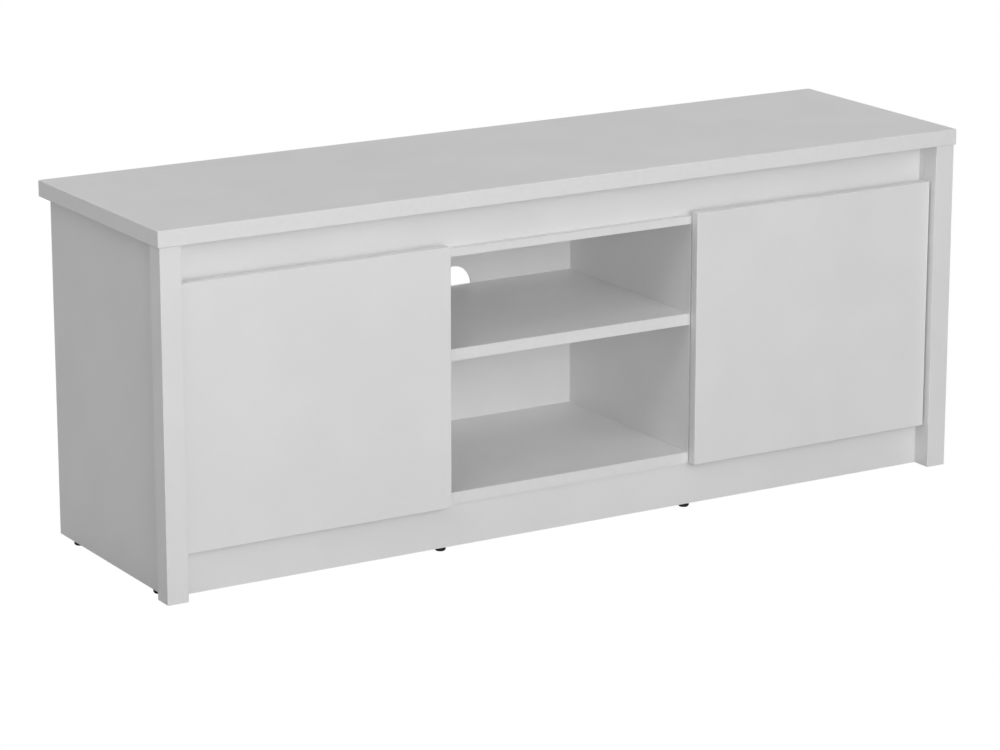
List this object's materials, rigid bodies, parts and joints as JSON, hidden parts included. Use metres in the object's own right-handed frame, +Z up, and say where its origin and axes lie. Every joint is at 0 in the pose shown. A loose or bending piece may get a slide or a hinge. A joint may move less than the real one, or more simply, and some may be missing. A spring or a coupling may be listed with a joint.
{
  "type": "tv stand with doors",
  "caption": "Low white media stand of flat boards: overhanging top, front posts, two hinged doors either side of an open shelved niche, plinth and a cable hole in the back.",
  "frame": {"origin": "on the floor, under the middle of the top board", "axes": "+X along the width, towards the right as seen from the front; -Y towards the front; +Z up"},
  "size_m": [1.4, 0.4, 0.557],
  "materials": {
    "white_board": "chipboard faced with white melamine paper, satin, very fine pearled grain",
    "door_board": "chipboard door faced with white melamine paper, satin, very fine pearled grain",
    "hardboard": "thin hardboard, lacquered white on the face towards the niche and raw brown behind",
    "edge_band": "white plastic edge banding, satin",
    "white_plastic": "white extruded plastic joint strip",
    "beech": "fluted beech dowels, unfinished",
    "die_cast_zinc": "zinc casting, dull",
    "zinc_plated_steel": "zinc plated steel",
    "nickel_plated_steel": "nickel plated steel, bright satin",
    "glide_plastic": "hard black plastic, satin",
    "clear_bumper": "soft translucent plastic"
  },
  "bodies": {
    "carcass": {"top_board": "white_board", "carcass_top_board": "white_board", "bottom_board": "white_board", "niche_shelf": "white_board", "grip_rail": "white_board", "upper_rear_rail": "white_board", "plinth": "white_board", "lower_rear_rail": "white_board", "left_side_panel": "white_board", "left_front_post": "white_board", "left_partition": "white_board", "left_inner_shelf": "white_board", "right_side_panel": "white_board", "right_front_post": "white_board", "right_partition": "white_board", "right_inner_shelf": "white_board", "left_back_panel": "hardboard", "niche_back_panel": "hardboard", "right_back_panel": "hardboard", "back_joint_strips": "white_plastic", "top_edge_band": "edge_band", "front_edge_bands": "edge_band", "wood_dowels": "beech", "small_dowels": "beech", "cam_locks": "die_cast_zinc", "cam_bolts": "zinc_plated_steel", "confirmat_screws": "zinc_plated_steel", "back_panel_nails": "zinc_plated_steel", "foot_nails": "zinc_plated_steel", "shelf_pegs": "zinc_plated_steel", "floor_glides": "glide_plastic", "door_bumpers": "clear_bumper", "left_lower_hinge_arm": "nickel_plated_steel", "left_lower_hinge_plate": "nickel_plated_steel", "left_upper_hinge_arm": "nickel_plated_steel", "left_upper_hinge_plate": "nickel_plated_steel", "right_lower_hinge_arm": "nickel_plated_steel", "right_lower_hinge_plate": "nickel_plated_steel", "right_upper_hinge_arm": "nickel_plated_steel", "right_upper_hinge_plate": "nickel_plated_steel", "hinge_plate_screws": "nickel_plated_steel", "hinge_arm_screws": "nickel_plated_steel"},
    "left_door": {"left_door": "door_board", "left_door_edge_band": "edge_band", "left_cup_screws": "nickel_plated_steel", "left_lower_hinge_cup": "nickel_plated_steel", "left_lower_hinge_pin": "nickel_plated_steel", "left_upper_hinge_cup": "nickel_plated_steel", "left_upper_hinge_pin": "nickel_plated_steel"},
    "right_door": {"right_door": "door_board", "right_door_edge_band": "edge_band", "right_cup_screws": "nickel_plated_steel", "right_lower_hinge_cup": "nickel_plated_steel", "right_lower_hinge_pin": "nickel_plated_steel", "right_upper_hinge_cup": "nickel_plated_steel", "right_upper_hinge_pin": "nickel_plated_steel"}
  },
  "joints": [
    {"name": "left_door_hinge", "type": "hinge", "parent": "carcass", "child": "left_door", "pos_m": [-0.653, -0.18, 0.274], "axis": [0, 0, -1], "range_deg": [0, 95]},
    {"name": "right_door_hinge", "type": "hinge", "parent": "carcass", "child": "right_door", "pos_m": [0.653, -0.18, 0.274], "axis": [0, 0, 1], "range_deg": [0, 95]}
  ]
}
